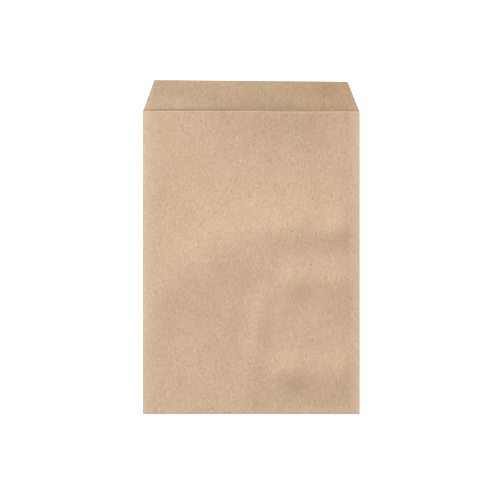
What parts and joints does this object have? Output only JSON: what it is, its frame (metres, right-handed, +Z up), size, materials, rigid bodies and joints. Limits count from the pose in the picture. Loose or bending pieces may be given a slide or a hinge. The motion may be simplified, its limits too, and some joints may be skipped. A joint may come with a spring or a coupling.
{
  "type": "flat paper bag",
  "caption": "Flat kraft paper bag with an open tapered flap, folded and glued from one sheet, for small goods, cards or takeaway items.",
  "frame": {"origin": "middle of the bag's outline, flap included, on the surface that the bag lies on", "axes": "+X across the bag to the right seen from the front, +Y along the bag towards the open flap, +Z up out of the front panel"},
  "size_m": [0.127, 0.1952, 0.0039],
  "materials": {
    "kraft_paper": "matte"
  },
  "bodies": {
    "root": {"paper_bag": "kraft_paper"}
  },
  "joints": []
}
